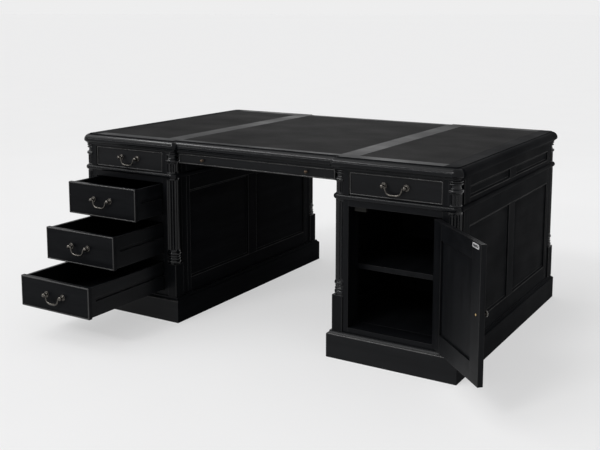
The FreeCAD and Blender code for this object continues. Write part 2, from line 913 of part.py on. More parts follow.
def on_hinge(shape):
    """Moves a pin, knuckle or bore to the door's hinge axis."""
    return moved(shape, hinge_axis.x, hinge_axis.y)


def hinge_leaf(bottom, own_half, hand):
    """A leaf and its knuckle; hand is +1 for the leaf on the post, -1 for the leaf on the door."""
    edge = hinge_axis.x + hand * hinge_side_gap / 2
    plate = box(
        sorted((edge, edge - hand * hinge_leaf_thickness)),
        (hinge_axis.y, hinge_axis.y + hinge_leaf_width + knuckle_radius),
        (bottom, bottom + hinge_height),
    )
    length = hinge_height / 2
    own = bottom + own_half * length
    other = bottom + (1 - own_half) * length
    barrel = on_hinge(flat_sided_rod(knuckle_radius, own, own + length, turning_sides))
    reach = knuckle_radius + runner_clearance
    room = box(
        (hinge_axis.x - reach, hinge_axis.x + reach),
        (hinge_axis.y - reach, hinge_axis.y + reach),
        (other, other + length),
    )
    bore_radius = bore_corner(hinge_pin_radius + hinge_running_clearance, rod_sides)
    bore = on_hinge(flat_sided_rod(bore_radius, own, own + length, rod_sides))
    return plate.cut(room).fuse(barrel).cut(bore).removeSplitter()


def opened(solids):
    """The door's pieces swung to where the door stands open."""
    swung = []
    for solid in solids:
        copy = solid.copy()
        copy.rotate(hinge_axis, up, door_opening_angle)
        swung.append(copy)
    return swung


def write_door(node, solids):
    """A piece of the open front door, and its closed twin at the rear."""
    write(node, opened(solids))
    write("rear_" + node, [half_turn(solid) for solid in solids])


def make_cupboard():
    write_door("cupboard_door", door_pieces())
    knob_x = door_free_x + door_knob_inset
    knob_z = (door_bottom + door_top) / 2
    screw_head = knob_screw_head_height
    handle = moved(knob(door_knob_radius, door_knob_height), knob_x, drawer_face_y, knob_z)
    screw = laid_forward(flat_sided_rod(knob_screw_head_radius, 0, screw_head, turning_sides))
    screw = moved(screw, knob_x, door_back_y + screw_head, knob_z)
    write_door("door_knob", [handle, screw])
    strike_x = door_free_x + strike_inset
    strike_z = door_top - strike_drop
    strike = box(
        (strike_x, strike_x + strike_width),
        (door_back_y, door_back_y + strike_thickness),
        (strike_z - strike_height, strike_z),
    )
    leaves = [hinge_leaf(bottom, 1, -1) for bottom in hinge_bottoms()]
    write_door("door_hinge_leaves", leaves + [strike])
    posts = [hinge_leaf(bottom, 0, 1) for bottom in hinge_bottoms()]
    for bottom in hinge_bottoms():
        pin = flat_sided_rod(hinge_pin_radius, bottom, bottom + hinge_height, rod_sides)
        posts.append(on_hinge(pin))
    write("post_hinge_leaves", both_sides(posts))
    catch_front = door_back_y + strike_thickness + catch_gap
    catch = box(
        (strike_x, strike_x + strike_width),
        (catch_front, catch_front + catch_depth),
        (strike_z - strike_height, bay_top),
    )
    write("magnetic_catches", both_sides([catch]))
    depth = (-wall_y, -partition_half)
    pieces = [box((hall_inner, hall_outer), depth, (shelf_top - shelf_thickness, shelf_top))]
    for top in (shelf_top - shelf_thickness, lower_batten_top):
        batten = box((hall_inner, hall_inner + batten_width), depth, (top - batten_height, top))
        pieces += [batten, about_pedestal(batten)]
    write("cupboard_shelves", both_sides(pieces))


def main():
    os.makedirs("parts", exist_ok=True)
    make_top()
    make_waist()
    make_plinths()
    make_corners()
    make_walls()
    make_boards()
    make_rails()
    make_runners()
    make_drawers()
    make_cupboard()


main()
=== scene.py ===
import json
from math import asin, cos, hypot, pi, radians, sin, sqrt

import bmesh
import bpy
from mathutils import Matrix, Vector


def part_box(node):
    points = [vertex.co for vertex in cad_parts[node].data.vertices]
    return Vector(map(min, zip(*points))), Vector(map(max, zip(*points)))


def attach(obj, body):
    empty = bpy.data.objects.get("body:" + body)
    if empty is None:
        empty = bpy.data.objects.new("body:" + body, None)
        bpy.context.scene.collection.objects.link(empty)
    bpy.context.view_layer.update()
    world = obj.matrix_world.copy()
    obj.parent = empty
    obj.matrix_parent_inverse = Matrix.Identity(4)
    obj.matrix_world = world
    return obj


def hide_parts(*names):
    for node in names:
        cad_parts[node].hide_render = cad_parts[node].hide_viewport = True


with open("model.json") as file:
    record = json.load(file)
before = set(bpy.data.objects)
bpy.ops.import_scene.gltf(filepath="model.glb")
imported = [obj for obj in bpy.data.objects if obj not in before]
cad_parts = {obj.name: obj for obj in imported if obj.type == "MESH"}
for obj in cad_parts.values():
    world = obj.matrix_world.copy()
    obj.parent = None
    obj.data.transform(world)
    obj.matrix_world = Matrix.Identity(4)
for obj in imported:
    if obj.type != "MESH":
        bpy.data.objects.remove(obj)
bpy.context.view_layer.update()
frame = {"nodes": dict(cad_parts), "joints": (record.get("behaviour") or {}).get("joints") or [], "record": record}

# Sizes in metres, written as millimetres where they are small
mm = 0.001

# Camera that took the photograph: tilted a little down, with a shifted frame
camera_place = (2.0223, -3.5246, 1.318)
camera_turn = radians(31.2805)
camera_tilt = radians(8)
camera_lens = 54.662
camera_shift = -0.1431

# Whole desk, read from the frame
top_low, top_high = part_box("desk_top")
moulding_low, moulding_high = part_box("top_moulding")
waist_low, waist_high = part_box("waist_boards")
plinth_low, plinth_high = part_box("plinth_boards")
half_width = top_high.x
half_depth = top_high.y
outer_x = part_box("outer_pedestal_sides")[1].x
face_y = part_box("pedestal_posts")[1].y
wall_thickness = 18 * mm
inner_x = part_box("kneehole_pedestal_sides")[1].x - wall_thickness
plinth_width = 533 * mm
plinth_thickness = 24 * mm
plinth_cove = 10 * mm
plinth_round = 4.5 * mm
plinth_quirk = 0.6 * mm
pedestal_middle = (inner_x + outer_x) / 2

# Top: rounded nose, ears over the pedestals, leather
corner_radius = 42 * mm
breakfront = 20 * mm
breakfront_overhang = 17 * mm
ear_radius = 19 * mm
least_radius = 2 * mm
nose_upper = 24.6 * mm
nose_quirk = 2.4 * mm
nose_lower = 8.6 * mm
moulding_fillet = 3 * mm
moulding_scoop = 4 * mm
moulding_step = 5 * mm
moulding_lip = 1 * mm
moulding_edge = 0.6 * mm
waist_round = 9.2 * mm
waist_corner = 30 * mm
leather_margin = 80 * mm
leather_strip = 80 * mm
leather_centre_half = 380 * mm
leather_depth = 2 * mm
leather_crown = 0.3 * mm
leather_gap = 0.4 * mm
arc_steps = 14
nose_steps = 8

# Over the lid's edge: millimetres in from the nose, and down from the lid
lid_edge_steps = ((0.2, 0.8), (0.5, 0.2), (1.1, 0))

# Over a hide's edge: leather gaps in from the field's wall, and crowns down from the middle
hide_edge_steps = ((1, 3), (1.6, 1.4), (4, 0.3), (8, 0))

# Turned columns
side_inset = 26 * mm
front_inset = 24 * mm
notch_width = 40 * mm
notch_depth = 50 * mm
shaft_radius = 27.5 * mm
drum_radius = 25.5 * mm
flute_count = 16
flute_points = 8
flute_depth = 3.8 * mm
flute_share = 0.78
flute_end_shares = (0, 0.06, 0.2, 0.4, 0.65, 1)
shaft_foot = 62 * mm
shaft_head = 6 * mm
drum_foot = 5 * mm
drum_head = 45 * mm
frieze_cap_radius = 27 * mm
block_height = 142 * mm
block_stand = 5 * mm
block_edge = 1.6 * mm
strip_edge = 0.4 * mm
strip_lap = 3 * mm

# Pulls and knobs
post_spacing = 90 * mm
post_reach = 21 * mm
pivot_reach = 16 * mm
post_ball_stand = 3 * mm
bail_radius = 3.2 * mm
bail_swell = 0.6 * mm
bail_swell_half = 28 * mm
bail_tip_x = 50.5 * mm
bail_tip_share = 0.7
bail_points = 16
lathe_points = 40

# Half of a bail's line in millimetres, from its pivot in the post to its grip
bail_half_line = (
    (51.2, 0), (42, 0), (37.6, -0.6), (34.6, -4.2), (33.2, -10), (31.2, -16.6), (27.2, -23),
    (20.4, -27.8), (10.5, -30.2),
)

# Cock bead round a drawer front, with a fine groove inside it
bead_width = 5.5 * mm
bead_height = 3 * mm
bead_groove = 0.8 * mm
bead_steps = 12

# Door knob and strike, drawn on the shut front door
door_opening = radians(136)
door_face = 580 * mm
door_thickness = 20 * mm
door_knob_x = 473 * mm
door_knob_radius = 10 * mm
door_knob_height = 22 * mm
screw_radius = 4 * mm
screw_rim = 1.1 * mm
screw_dome = 0.9 * mm
strike_width = 48 * mm
strike_height = 16 * mm
strike_thickness = 1.5 * mm
strike_inset = 12 * mm
strike_drop = 4 * mm
strike_rim = 1.8 * mm
strike_stand = 0.25 * mm
pad_end = 6 * mm
pad_side = 2.4 * mm
rim_steps = 8
rim_points = 10

# Even pale studio
backdrop_colour = (0.855, 0.855, 0.857, 1)
even_floor_share = 0.6
world_fill = 0.57
floor_reach = 300

# Softened arrises of boards and fittings
wood_edge = 0.9 * mm
metal_edge = 0.3 * mm
weld = 0.01 * mm
fine_weld = 0.001 * mm
smooth_angle = radians(38)
flat_angle = radians(0.4)
bluntest_arris = radians(28)
sharpest_arris = radians(100)

# How near a face's normal comes to an axis, to count as level or as facing an end
level_share = 0.99
nearly_share = 0.9
facing_share = 0.5

# Places in a board's list of finishes, after its grain along X, Y and Z
arris_finish = 3
first_end_finish = 4
bead_highlight_finish = 7

# Places in the list of a column and its blocks
block_arris_finish = 1
block_front_finish = 2
block_end_finish = 3

# Nodes whose boards face the ends of the desk, and how far the grain moves from board to board
end_nodes = ("pedestal_sides", "frieze_ends")
board_shift = (0.37, 0.23, 0.61)


# Materials
def new_material(name):
    material = bpy.data.materials.new(name)
    material.use_nodes = True
    tree = material.node_tree
    return material, tree, tree.nodes["Principled BSDF"]


def add_node(tree, kind, **inputs):
    """A new node with some of its inputs set, an input's spaces written as underscores."""
    made = tree.nodes.new("ShaderNode" + kind)
    for name, value in inputs.items():
        made.inputs[name.replace("_", " ")].default_value = value
    return made


def pattern_place(tree, scale):
    """The piece's own coordinates, shifted from board to board and scaled along each axis."""
    coords = add_node(tree, "TexCoord")
    board = add_node(tree, "Attribute")
    board.attribute_name = "board"
    shift = add_node(tree, "VectorMath")
    shift.operation = "ADD"
    tree.links.new(coords.outputs["Object"], shift.inputs[0])
    tree.links.new(board.outputs["Vector"], shift.inputs[1])
    stretch = add_node(tree, "Mapping", Scale=scale)
    tree.links.new(shift.outputs["Vector"], stretch.inputs["Vector"])
    return stretch.outputs["Vector"]


def noise(tree, scale, detail):
    """Cloudy noise with a scale, per metre, for each axis."""
    made = add_node(tree, "TexNoise", Scale=1, Detail=detail, Roughness=0.55)
    tree.links.new(pattern_place(tree, scale), made.inputs["Vector"])
    return made.outputs["Fac"]


def ramp(tree, value, stops):
    """Colours along a value, between two (place, colour) stops."""
    made = add_node(tree, "ValToRGB")
    for element, (place, colour) in zip(made.color_ramp.elements, stops):
        element.position = place
        element.color = (*colour, 1)
    tree.links.new(value, made.inputs["Fac"])
    return made.outputs["Color"]


def spread(tree, value, low, high):
    """A texture's middle range spread between two values."""
    made = add_node(tree, "MapRange", From_Min=0.3, From_Max=0.7, To_Min=low, To_Max=high)
    tree.links.new(value, made.inputs["Value"])
    return made.outputs["Result"]


def bump(tree, shader, height, distance, strength):
    made = add_node(tree, "Bump", Distance=distance, Strength=strength)
    tree.links.new(height, made.inputs["Height"])
    tree.links.new(made.outputs["Normal"], shader.inputs["Normal"])


def mixed(tree, factor, one, other):
    made = add_node(tree, "Mix")
    made.data_type = "RGBA"
    tree.links.new(factor, made.inputs["Factor"])
    tree.links.new(one, made.inputs["A"])
    tree.links.new(other, made.inputs["B"])
    return made.outputs["Result"]


def coat(tree, shader, colour, roughness):
    tree.links.new(colour, shader.inputs["Base Color"])
    tree.links.new(roughness, shader.inputs["Roughness"])


def shade(colour, share):
    return tuple(share * part for part in colour)


def ebonised(name, grain_axis, dark, light, roughness, gloss):
    """Satin lacquer over open-pored wood, with the grain along one axis."""
    material, tree, shader = new_material(name)
    fine = [650, 650, 650]
    fine[grain_axis] = 14
    broad = [26, 26, 26]
    broad[grain_axis] = 2
    pores = noise(tree, fine, detail=3)
    figure = noise(tree, broad, detail=4)
    handling = noise(tree, (5, 5, 5), detail=3)
    figure_colour = ramp(tree, figure, [(0.35, dark), (0.7, light)])
    pore_colour = ramp(tree, figure, [(0.3, shade(dark, 0.4)), (0.7, dark)])
    pore_mask = ramp(tree, pores, [(0.36, white), (0.46, black)])
    colour = mixed(tree, pore_mask, figure_colour, pore_colour)
    coat(tree, shader, colour, spread(tree, handling, roughness - 0.06, roughness + 0.07))
    shader.inputs["Specular IOR Level"].default_value = gloss
    bump(tree, shader, pores, distance=0.1 * mm, strength=0.35)
    return material


def leather():
    """Black hide, matt with rubbed sheen, in fine pebble grain."""
    material, tree, shader = new_material("black_hide")
    pebble = add_node(tree, "TexVoronoi", Scale=1)
    pebble.feature = "SMOOTH_F1"
    tree.links.new(pattern_place(tree, (620, 620, 620)), pebble.inputs["Vector"])
    crease = noise(tree, (90, 90, 90), detail=5)
    rubbed = noise(tree, (4, 5, 4), detail=4)
    grain = add_node(tree, "Math")
    grain.operation = "MULTIPLY_ADD"
    grain.inputs[1].default_value = 0.6
    tree.links.new(crease, grain.inputs[0])
    tree.links.new(pebble.outputs["Distance"], grain.inputs[2])
    colour = ramp(tree, rubbed, [(0.3, hide_dark), (0.7, hide_light)])
    coat(tree, shader, colour, spread(tree, rubbed, 0.7, 0.62))
    shader.inputs["Specular IOR Level"].default_value = 0.016
    bump(tree, shader, grain.outputs["Value"], distance=0.25 * mm, strength=0.5)
    return material


def aged_metal(name, tarnish, rubbed, roughness):
    """Cast metal, dark in its hollows and rubbed bright on its high places."""
    material, tree, shader = new_material(name)
    geometry = add_node(tree, "NewGeometry")
    cloud = noise(tree, (160, 160, 160), detail=5)
    speck = noise(tree, (1400, 1400, 1400), detail=2)
    high = ramp(tree, geometry.outputs["Pointiness"], [(0.46, black), (0.6, white)])
    worn = ramp(tree, cloud, [(0.3, tarnish), (0.75, rubbed)])
    bright = ramp(tree, cloud, [(0.3, shade(rubbed, 0.7)), (0.6, rubbed)])
    colour = mixed(tree, high, worn, bright)
    coat(tree, shader, colour, spread(tree, cloud, roughness + 0.08, roughness - 0.06))
    shader.inputs["Metallic"].default_value = 1
    bump(tree, shader, speck, distance=0.08 * mm, strength=0.3)
    return material


def brushed_steel(name, dark, light, metallic=1.0):
    """Satin steel, or a paler plating, with fine upright marks."""
    material, tree, shader = new_material(name)
    marks = noise(tree, (2600, 2600, 60), detail=2)
    cloud = noise(tree, (60, 60, 60), detail=3)
    colour = ramp(tree, cloud, [(0.3, dark), (0.7, light)])
    coat(tree, shader, colour, spread(tree, marks, 0.25, 0.42))
    shader.inputs["Metallic"].default_value = metallic
    bump(tree, shader, marks, distance=0.05 * mm, strength=0.4)
    return material


def seen_directly(tree):
    """One for rays from the eye, and for what metal or glass shows it."""
    light_path = add_node(tree, "LightPath")
    either = light_path.outputs["Is Camera Ray"]
    for name in ("Is Glossy Ray", "Is Transmission Ray"):
        largest = add_node(tree, "Math")
        largest.operation = "MAXIMUM"
        tree.links.new(either, largest.inputs[0])
        tree.links.new(light_path.outputs[name], largest.inputs[1])
        either = largest.outputs["Value"]
    return either


def pale_floor():
    """A matt floor that takes shadows, evened out for the eye and for reflections."""
    material, tree, shader = new_material("pale_floor")
    cloud = noise(tree, (2, 2, 2), detail=3)
    colour = ramp(tree, cloud, [(0.3, (0.84, 0.84, 0.845)), (0.7, (0.86, 0.86, 0.865))])
    tree.links.new(colour, shader.inputs["Base Color"])
    shader.inputs["Roughness"].default_value = 0.9
    shader.inputs["Specular IOR Level"].default_value = 0
    even = add_node(tree, "Emission", Color=backdrop_colour, Strength=1)
    share = add_node(tree, "Math")
    share.operation = "MULTIPLY"
    share.inputs[1].default_value = even_floor_share
    tree.links.new(seen_directly(tree), share.inputs[0])
    choice = add_node(tree, "MixShader")
    tree.links.new(share.outputs["Value"], choice.inputs["Fac"])
    tree.links.new(shader.outputs["BSDF"], choice.inputs[1])
    tree.links.new(even.outputs["Emission"], choice.inputs[2])
    tree.links.new(choice.outputs["Shader"], tree.nodes["Material Output"].inputs["Surface"])
    return material


def lacquered(name, grain_axis, roughness, gloss):
    return ebonised(name, grain_axis, dark_lacquer, light_lacquer, roughness, gloss)


black = (0, 0, 0)
white = (1, 1, 1)
dark_lacquer = (0.0026, 0.0029, 0.0036)
light_lacquer = (0.0052, 0.0056, 0.0066)
# Arrises a little lighter: partly wear, partly a painted highlight along the edges
worn_and_highlight_dark = (0.0065, 0.0067, 0.0072)
worn_and_highlight_light = (0.018, 0.0178, 0.0178)
# Paler still: a painted highlight on the cock beads, the plinths' rounded edge and the ends' arrises
painted_highlight_dark = (0.014, 0.014, 0.0145)
painted_highlight_light = (0.036, 0.0355, 0.035)
case_dark = (0.012, 0.0118, 0.011)
case_light = (0.02, 0.0195, 0.018)
hide_dark = (0.0058, 0.0058, 0.0061)
hide_light = (0.0105, 0.0104, 0.0105)
boards = []
side_boards = []
for axis in range(3):
    letter = "xyz"[axis]
    boards.append(lacquered("ebonised_" + letter, axis, roughness=0.36, gloss=0.075))
    side_boards.append(lacquered("ebonised_side_" + letter, axis, roughness=0.5, gloss=0.005))
drawer_front = lacquered("ebonised_drawer", 0, roughness=0.36, gloss=0.045)
frieze_front = lacquered("ebonised_frieze", 0, roughness=0.36, gloss=0.12)
margin = lacquered("ebonised_margin", 0, roughness=0.38, gloss=0.02)
cross_strip = lacquered("ebonised_strip", 1, roughness=0.4, gloss=0.028)
plinth_front = lacquered("ebonised_plinth", 0, roughness=0.36, gloss=0.15)
polished = lacquered("ebonised_polished", 0, roughness=0.16, gloss=0.13)
turned_wood = lacquered("ebonised_turned", 2, roughness=0.22, gloss=0.26)
# The arrises' finish is lighter for wear and for a painted highlight
worn_and_highlight_edge = ebonised("ebonised_worn_and_highlight_edge", 2, worn_and_highlight_dark, worn_and_highlight_light, roughness=0.26, gloss=0.2)
# The ends' arrises and the beads carry a painted highlight in a paler colour
side_edge_highlight = ebonised("ebonised_side_edge_highlight", 2, painted_highlight_dark, painted_highlight_light, roughness=0.42, gloss=0.02)
bead_highlight = ebonised("ebonised_bead_highlight", 2, painted_highlight_dark, painted_highlight_light, roughness=0.26, gloss=0.3)
catch_case = ebonised("catch_case", 0, case_dark, case_light, roughness=0.5, gloss=0.08)
moulded = [polished, side_boards[1]]
column_finishes = [turned_wood, worn_and_highlight_edge, boards[2], side_boards[2]]
hide = leather()
bronze = aged_metal("aged_bronze", (0.014, 0.013, 0.0122), (0.115, 0.107, 0.097), roughness=0.26)
copper_bronze = aged_metal("copper_bronze", (0.018, 0.0128, 0.0096), (0.088, 0.063, 0.046), roughness=0.3)
screw_brass = aged_metal("screw_brass", (0.30, 0.20, 0.08), (0.80, 0.58, 0.28), roughness=0.3)
steel = brushed_steel("brushed_steel", (0.36, 0.36, 0.37), (0.52, 0.52, 0.53))
pale_plating = brushed_steel("pale_plating", (0.44, 0.44, 0.45), (0.54, 0.54, 0.55), metallic=0.2)


# Meshes
skin_ends = 2


def skin(rings):
    """Places and faces of a closed skin through rings of places, its two flat ends first."""
    count = len(rings[0])
    places = [place for ring in rings for place in ring]
    faces = [tuple(reversed(range(count)))]
    faces.append(tuple(range(len(places) - count, len(places))))
    for start in range(0, len(places) - count, count):
        for index in range(count):
            after = (index + 1) % count
            faces.append((start + index, start + after, start + count + after, start + count + index))
    return places, faces


def hollow_skin(rings):
    """Places and faces of a closed frame: the last ring joins the first."""
    places, faces = skin(rings)
    count = len(rings[0])
    last = len(places) - count
    faces = faces[skin_ends:]
    for index in range(count):
        after = (index + 1) % count
        faces.append((last + index, last + after, after, index))
    return places, faces


def add_shell(mesh, places, faces, material=0):
    """Adds one closed skin to a mesh, its faces outward."""
    corners = [mesh.verts.new(place) for place in places]
    made = [mesh.faces.new([corners[index] for index in face]) for face in faces]
    for face in made:
        face.material_index = material
    bmesh.ops.recalc_face_normals(mesh, faces=made)
    return made


def add_object(name, data):
    made = bpy.data.objects.new(name, data)
    bpy.context.scene.collection.objects.link(made)
    return made


def finish_piece(name, mesh, body, slot_name, materials, *nodes):
    """Turns a mesh into a piece that rides on a body and stands for CAD nodes."""
    data = bpy.data.meshes.new(name)
    mesh.to_mesh(data)
    mesh.free()
    for polygon in data.polygons:
        polygon.use_smooth = True
    data.set_sharp_from_angle(angle=smooth_angle)
    for material in materials:
        data.materials.append(material)
    piece = add_object(name, data)
    flat = piece.modifiers.new("flat_faces_stay_flat", "WEIGHTED_NORMAL")
    flat.keep_sharp = True
    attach(piece, body)
    if nodes:
        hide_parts(*nodes)
    return piece


def quarter(middle_x, middle_y, radius, start):
    """Places along a quarter round, from a start angle in degrees."""
    places = []
    for index in range(arc_steps + 1):
        turn = radians(start + 90 * index / arc_steps)
        places.append((middle_x + radius * cos(turn), middle_y + radius * sin(turn)))
    return places


def whole_outline(places):
    """A whole outline from the places of its right front quarter."""
    half = places + [(x, -y) for x, y in reversed(places)]
    return half + [(-x, -y) for x, y in half]


def nose_round(size, end, hand):
    """Insets and heights along a quarter round, up from a lower end or up to an upper end."""
    steps = []
    for index in range(nose_steps + 1):
        turn = pi / 2 * index / nose_steps
        steps.append((size * (1 - sin(turn)), end + hand * size * (1 - cos(turn))))
    return steps[::hand]


def reach_of(places):
    """The lowest and highest corners of some places."""
    low = [min(place[axis] for place in places) for axis in range(3)]
    high = [max(place[axis] for place in places) for axis in range(3)]
    return low, high


def slab_rings(outline, section, middle_x=0.0):
    """Rings of a slab whose outline is drawn in by the insets of its section."""
    rings = []
    for inset, height in section:
        rings.append([(middle_x + x, y, height) for x, y in outline(inset)])
    return rings


# Top, moulding, leather and waist
def top_outline(inset):
    """The outline of the top, forward over the pedestals, drawn in all round."""
    front = half_depth - inset
    ear = max(ear_radius - inset, least_radius)
    corner = max(corner_radius - inset, least_radius)
    step_x = inner_x - breakfront_overhang + inset
    places = [(step_x, breakfront - front)]
    places += quarter(step_x + ear, ear - front, ear, 180)
    places += quarter(half_width - inset - corner, corner - front, corner, 270)
    return whole_outline(places)


def leather_fields():
    side_inner = leather_centre_half + leather_strip
    side_outer = half_width - leather_margin
    centre = leather_centre_half
    return [(-side_outer, -side_inner), (-centre, centre), (side_inner, side_outer)]


def rectangle(x, y, inset, height):
    left, right = x[0] + inset, x[1] - inset
    front, back = y[0] + inset, y[1] - inset
    return [(left, front, height), (right, front, height), (right, back, height), (left, back, height)]


def make_top():
    """The top board with three sunk fields, and the hides let into them."""
    section = nose_round(nose_lower, top_low.z, 1) + nose_round(nose_upper, top_high.z - nose_quirk, -1)
    for inset, drop in lid_edge_steps:
        section.append((nose_upper + inset * mm, top_high.z - drop * mm))
    mesh = bmesh.new()
    made = add_shell(mesh, *skin(slab_rings(top_outline, section)))
    lid = made[1]
    rim = list(lid.edges)
    bmesh.ops.delete(mesh, geom=[lid], context="FACES_ONLY")
    depth = (-half_depth + leather_margin, half_depth - leather_margin)
    for x in leather_fields():
        mouth = [mesh.verts.new(place) for place in rectangle(x, depth, 0, top_high.z)]
        floor = [mesh.verts.new(place) for place in rectangle(x, depth, 0, top_high.z - leather_depth)]
        mesh.faces.new(floor)
        for index in range(4):
            after = (index + 1) % 4
            mesh.faces.new((mouth[index], mouth[after], floor[after], floor[index]))
            rim.append(mesh.edges.get((mouth[index], mouth[after])))
    bmesh.ops.triangle_fill(mesh, use_beauty=True, use_dissolve=False, edges=rim, normal=(0, 0, 1))
    for hand in (-1, 1):
        cut_lid(mesh, (0, hand * depth[1], 0), (0, 1, 0))
        for x in leather_fields()[2] + (leather_centre_half,):
            cut_lid(mesh, (hand * x, 0, 0), (1, 0, 0))
    bmesh.ops.recalc_face_normals(mesh, faces=mesh.faces)
    finishes = [margin, cross_strip, polished, side_boards[1]]
    for face in mesh.faces:
        finish = top_finish(face.calc_center_median(), face.normal)
        face.material_index = finishes.index(finish)
    finish_piece("top_board", mesh, "desk", "black_wood", finishes, "desk_top")
    mesh = bmesh.new()
    top = top_high.z + leather_crown
    steps = [(leather_gap, top - leather_depth)]
    for gaps, crowns in hide_edge_steps:
        steps.append((gaps * leather_gap, top - crowns * leather_crown))
    for x in leather_fields():
        add_shell(mesh, *skin([rectangle(x, depth, inset, height) for inset, height in steps]))
    finish_piece("leather_hides", mesh, "desk", "black_leather", [hide], "leather_panels")


def on_lid(face):
    return face.normal.z > level_share and abs(face.calc_center_median().z - top_high.z) < weld


def cut_lid(mesh, place, normal):
    """Parts the lid along a straight line, so that its strips can have their own grain."""
    faces = [face for face in mesh.faces if on_lid(face)]
    edges = {edge for face in faces for edge in face.edges}
    corners = {corner for face in faces for corner in face.verts}
    parts = faces + list(edges) + list(corners)
    bmesh.ops.bisect_plane(mesh, geom=parts, dist=fine_weld, plane_co=place, plane_no=normal)


def top_finish(middle, normal):
    """The finish of a face of the top: long margins, cross strips, nose, or quieter ends and quirk."""
    at_end = abs(middle.x) > half_width - leather_margin
    if abs(normal.z) < level_share:
        faces_end = abs(normal.x) > nearly_share * hypot(normal.x, normal.y)
        at_quirk = normal.z > nearly_share or middle.z > top_high.z - nose_quirk
        return side_boards[1] if at_quirk or at_end and faces_end else polished
    if at_end:
        return side_boards[1]
    in_strip = leather_centre_half < abs(middle.x) < leather_centre_half + leather_strip
    between_margins = abs(middle.y) < half_depth - leather_margin
    return cross_strip if in_strip and between_margins else margin


def mark_ends(mesh, nearest=0.0):
    """The faces that look along X, further out than the nearest place, have the second finish."""
    for face in mesh.faces:
        along_x = abs(face.normal.x) > 2 * abs(face.normal.y)
        at_end = abs(face.calc_center_median().x) > nearest
        face.material_index = 1 if along_x and at_end else 0


def make_moulding():
    """A fillet, a small hollow and a square member under the nose."""
    setback = half_width - moulding_high.x
    low = setback + moulding_step
    hollow_top = moulding_low.z + moulding_fillet + moulding_scoop
    section = [(low, moulding_low.z), (low, moulding_low.z + moulding_fillet)]
    for index in range(nose_steps + 1):
        turn = pi / 2 * index / nose_steps
        inset = setback + moulding_lip + moulding_scoop * cos(turn)
        section.append((inset, hollow_top - moulding_scoop * (1 - sin(turn))))
    section += [(setback, hollow_top + moulding_edge), (setback, moulding_high.z)]
    mesh = bmesh.new()
    add_shell(mesh, *skin(slab_rings(top_outline, section)))
    mark_ends(mesh, half_width - leather_margin)
    finish_piece("moulding_under_top", mesh, "desk", "black_wood", moulded, "top_moulding")


def waist_outline(inset):
    x = waist_high.x - pedestal_middle - waist_corner
    y = waist_high.y - waist_corner
    return whole_outline(quarter(x, -y, waist_corner - inset, 270))


def make_waist():
    section = nose_round(waist_round, waist_low.z, 1) + nose_round(waist_round, waist_high.z, -1)
    mesh = bmesh.new()
    for hand in (-1, 1):
        add_shell(mesh, *skin(slab_rings(waist_outline, section, hand * pedestal_middle)))
    mark_ends(mesh)
    finish_piece("waist_mouldings", mesh, "desk", "black_wood", moulded, "waist_boards")


# Plinths
def plinth_section():
    """Insets and heights round a plinth's board: up its face, over the round and hollow, down inside."""
    edge = plinth_high.z - plinth_cove
    section = [(0, plinth_low.z), (0, edge - plinth_round)]
    for share in (0.25, 0.5, 0.75, 1.0):
        turn = share * pi / 2
        section.append((plinth_round * (1 - cos(turn)), edge - plinth_round * (1 - sin(turn))))
    first = asin((plinth_round + plinth_quirk) / plinth_cove)
    for index in range(nose_steps + 1):
        turn = first + (pi / 2 - first) * index / nose_steps
        section.append((plinth_cove * sin(turn), plinth_high.z - plinth_cove * cos(turn)))
    return section + [(plinth_thickness, plinth_high.z), (plinth_thickness, plinth_low.z)]


def make_plinths():
    mesh = bmesh.new()
    x = (plinth_high.x - plinth_width, plinth_high.x)
    y = (plinth_low.y, plinth_high.y)
    for hand in (-1, 1):
        rings = []
        for inset, height in plinth_section():
            ring = rectangle(x, y, inset, height)
            rings.append([(hand * place[0], place[1], place[2]) for place in ring])
        add_shell(mesh, *hollow_skin(rings))
    edge = plinth_high.z - plinth_cove
    finishes = [plinth_front, side_boards[1], bead_highlight]
    for face in mesh.faces:
        finish = plinth_front
        if abs(face.normal.x) > abs(face.normal.y):
            finish = side_boards[1]
        # The rounded edge along the top of the plinth's face gets a painted highlight
        elif edge - plinth_round < face.calc_center_median().z < edge:
            finish = bead_highlight
        face.material_index = finishes.index(finish)
    finish_piece("plinth_frames", mesh, "desk", "black_wood", finishes, "plinth_boards")


# Turned columns
def bead(low, high, inner, outer, steps=8):
    """(radius, height) steps over a rounded ring."""
    middle = (low + high) / 2
    half = (high - low) / 2
    profile = []
    for index in range(steps + 1):
        turn = pi * (index / steps - 0.5)
        profile.append((inner + (outer - inner) * cos(turn), middle + half * sin(turn)))
    return profile


def scoop(low, high, start, end, steps=6):
    """(radius, height) steps along a hollow, from one radius to another."""
    profile = []
    for index in range(steps + 1):
        turn = pi / 2 * index / steps
        if start > end:
            profile.append((start - (start - end) * sin(turn), high - (high - low) * cos(turn)))
        else:
            profile.append((end - (end - start) * cos(turn), low + (high - low) * sin(turn)))
    return profile


def flute_at(turn, radius, from_end):
    """How deep the scooped flutes are at a turn, with round ends."""
    pitch = 2 * pi / flute_count
    across = abs((turn / pitch) % 1 - 0.5) * pitch * radius
    half = flute_share * pitch * radius / 2
    away = hypot(across, max(half - from_end, 0)) / half
    return flute_depth * sqrt(max(1 - away * away, 0))


def column_ring(radius, height, from_end=None):
    """One ring of a column, cut flat where it seats in its notch."""
    count = flute_count * flute_points
    ring = []
    for index in range(count):
        turn = 2 * pi * index / count
        reach = radius
        if from_end is not None:
            reach -= flute_at(turn, radius, from_end)
        side = max(reach * cos(turn), side_inset - notch_width)
        front = max(reach * sin(turn), front_inset - notch_depth)
        ring.append((side, front, height))
    return ring


def column_rings(profile, foot):
    """Rings of a turned profile, which is in millimetres up from the foot."""
    return [column_ring(radius * mm, foot + height * mm) for radius, height in profile]


def fluted(radius, low, high):
    """Rings of a shaft whose flutes start and stop in round ends."""
    half = flute_share * pi * radius / flute_count
    heights = [(low + share * half, share * half) for share in flute_end_shares]
    heights += [(high - share * half, share * half) for share in reversed(flute_end_shares)]
    return [column_ring(radius, height, from_end) for height, from_end in heights]


